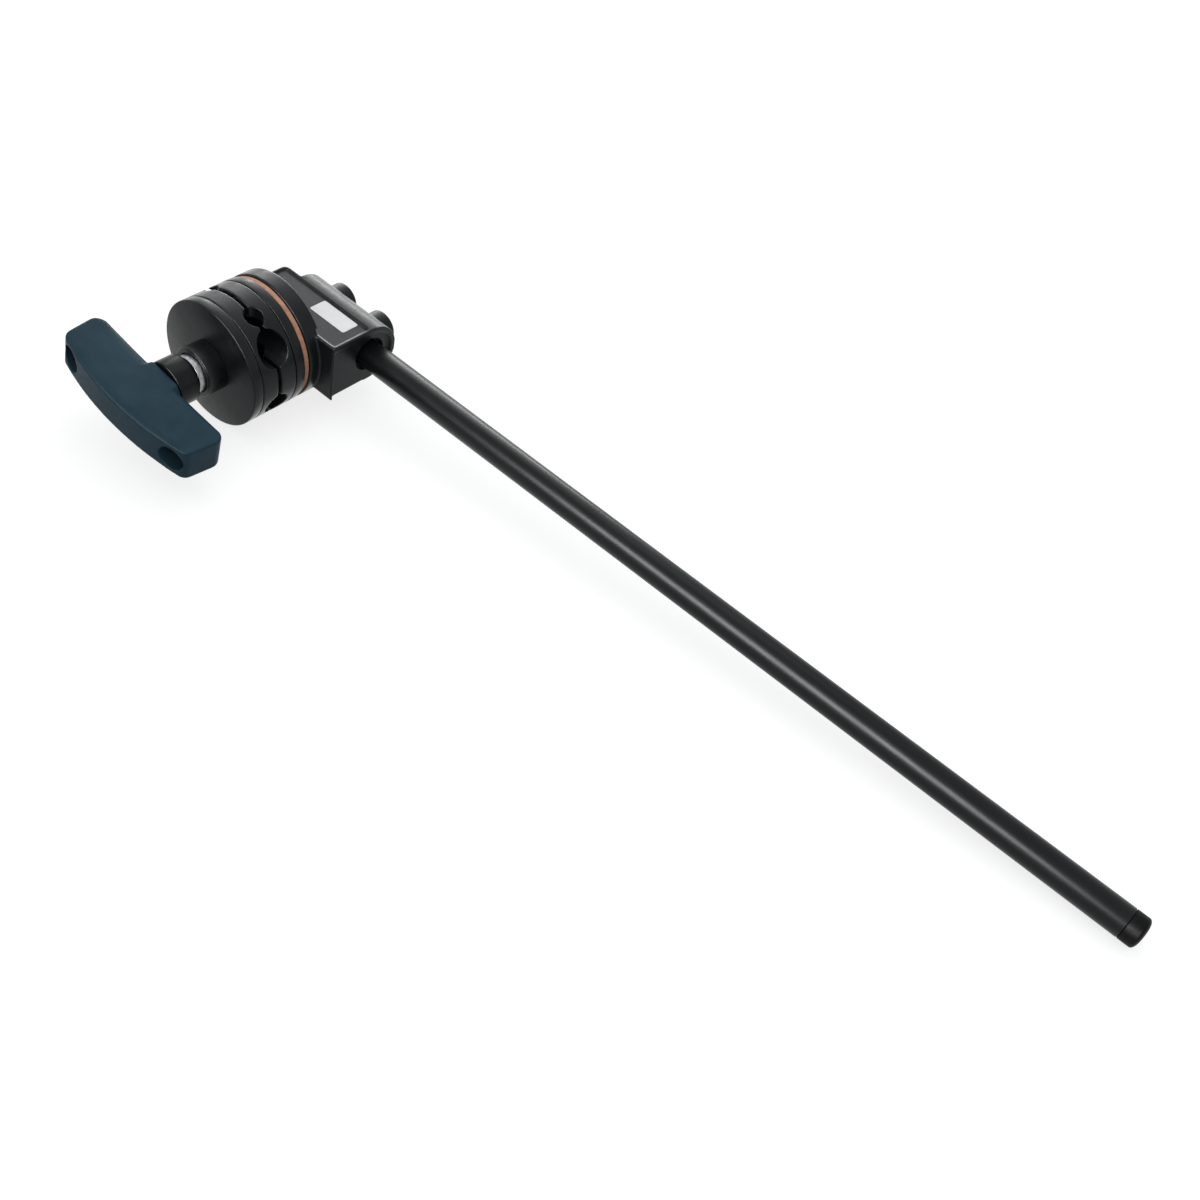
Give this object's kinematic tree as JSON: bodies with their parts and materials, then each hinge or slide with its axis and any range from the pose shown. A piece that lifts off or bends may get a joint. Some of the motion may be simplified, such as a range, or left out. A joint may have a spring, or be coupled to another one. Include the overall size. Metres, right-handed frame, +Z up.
{
  "type": "grip arm",
  "caption": "Straight steel rod with a swivelling round grip head at its end; the head's grooved jaws are closed by a T-handle on a centre bolt.",
  "frame": {"origin": "centre of the bounding box in X and Y, on the table at the bottom", "axes": "+X from the head towards the free end of the rod, +Z up, and -Y along the head axis towards the T-handle"},
  "size_m": [0.5208, 0.142, 0.0635],
  "materials": {
    "cast_black": "semi-gloss black coating on a casting",
    "rod_black": "satin black",
    "plug_black": "moulded",
    "friction_lining": "pressed fibre lining",
    "collar_black": "black oxide",
    "bright_steel": "zinc plated",
    "dark_steel": "black oxide",
    "ferrule_black": "gloss black",
    "handle_blue": "semi-matt moulded"
  },
  "bodies": {
    "arm": {"arm_casting": "cast_black", "arm_rod": "rod_black", "rod_end_plug": "plug_black", "centre_bolt": "bright_steel", "rod_set_screw": "dark_steel", "friction_ring": "friction_lining"},
    "rear_head": {"rear_plate": "cast_black", "rear_jaw": "cast_black", "dowel_pin_left": "bright_steel", "dowel_pin_right": "bright_steel", "rear_jaw_screw_upper": "dark_steel", "rear_jaw_screw_lower": "dark_steel", "jaw_spring": "bright_steel"},
    "front_head": {"front_jaw": "cast_black", "front_plate": "cast_black", "bearing_collar": "collar_black", "front_jaw_screw_upper": "dark_steel", "front_jaw_screw_lower": "dark_steel"},
    "thrust_stack": {"rear_thrust_washer": "bright_steel", "thrust_bearing": "dark_steel", "front_thrust_washer": "bright_steel"},
    "handle": {"t_handle": "handle_blue", "handle_ferrule": "ferrule_black", "handle_nut": "dark_steel"}
  },
  "joints": [
    {"name": "head_swivel", "type": "hinge", "parent": "arm", "child": "rear_head", "pos_m": [-0.21527, 0.0127, 0.03175], "axis": [0, -1, 0], "continuous": true},
    {"name": "jaw_opening", "type": "slide", "parent": "rear_head", "child": "front_head", "axis": [0, -1, 0], "range_m": [-0.00159, 0.00635], "deforming": ["jaw_spring"]},
    {"name": "handle_travel", "type": "slide", "parent": "arm", "child": "thrust_stack", "axis": [0, -1, 0], "range_m": [-0.00159, 0.00635]},
    {"name": "handle_turn", "type": "hinge", "parent": "thrust_stack", "child": "handle", "pos_m": [-0.21527, -0.0419, 0.03175], "axis": [0, -1, 0], "range_deg": [-360, 1440]}
  ],
  "couplings": [
    {"joint": "jaw_opening", "follows": "handle_turn", "m_per_rad": 0.00025265},
    {"joint": "handle_travel", "follows": "handle_turn", "m_per_rad": 0.00025265}
  ]
}
